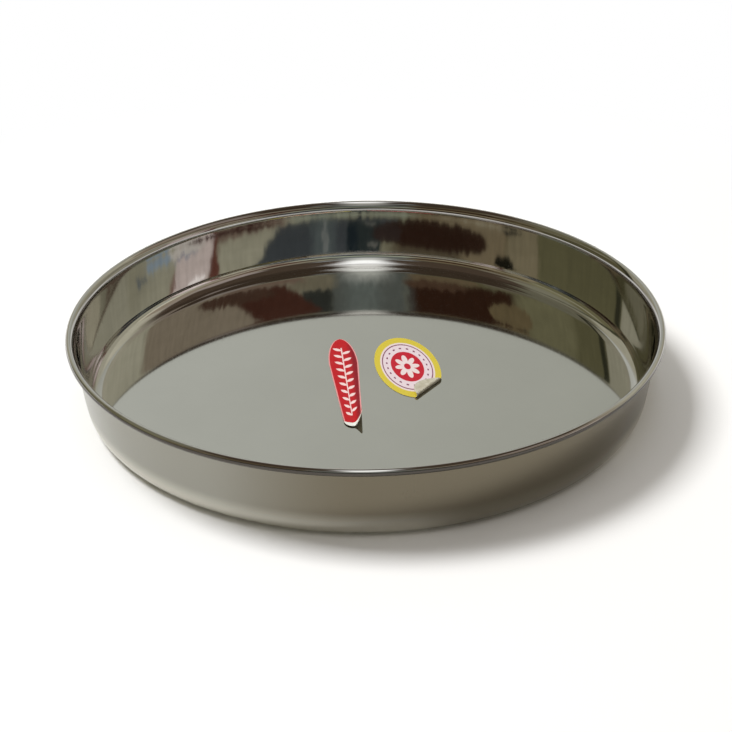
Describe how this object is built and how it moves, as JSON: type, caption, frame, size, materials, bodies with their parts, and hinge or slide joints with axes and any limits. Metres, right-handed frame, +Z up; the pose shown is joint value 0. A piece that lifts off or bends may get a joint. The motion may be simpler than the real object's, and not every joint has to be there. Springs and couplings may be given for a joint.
{
  "type": "thali plate",
  "caption": "Deep round steel thali plate with a flat floor, slightly flared wall and curled edge, carrying two paper labels, one peeling and one folded over.",
  "frame": {"origin": "centre of the plate's underside, on the surface that it stands on", "axes": "+Z up out of the dish; +X to the right and -Y towards a person who reads the labels' layout as pictured"},
  "size_m": [0.3, 0.3, 0.0395],
  "materials": {
    "steel": "polished stainless steel, mirror bright on the inside of the wall and on the curled edge, fine satin on the floor and on the outside",
    "red_label": "gloss coated paper, printed red with a pale pattern, white underneath",
    "yellow_label": "gloss coated paper, printed yellow, white and red, grey white underneath"
  },
  "bodies": {
    "root": {"plate": "steel", "long_label": "red_label", "oval_label": "yellow_label"}
  },
  "joints": []
}
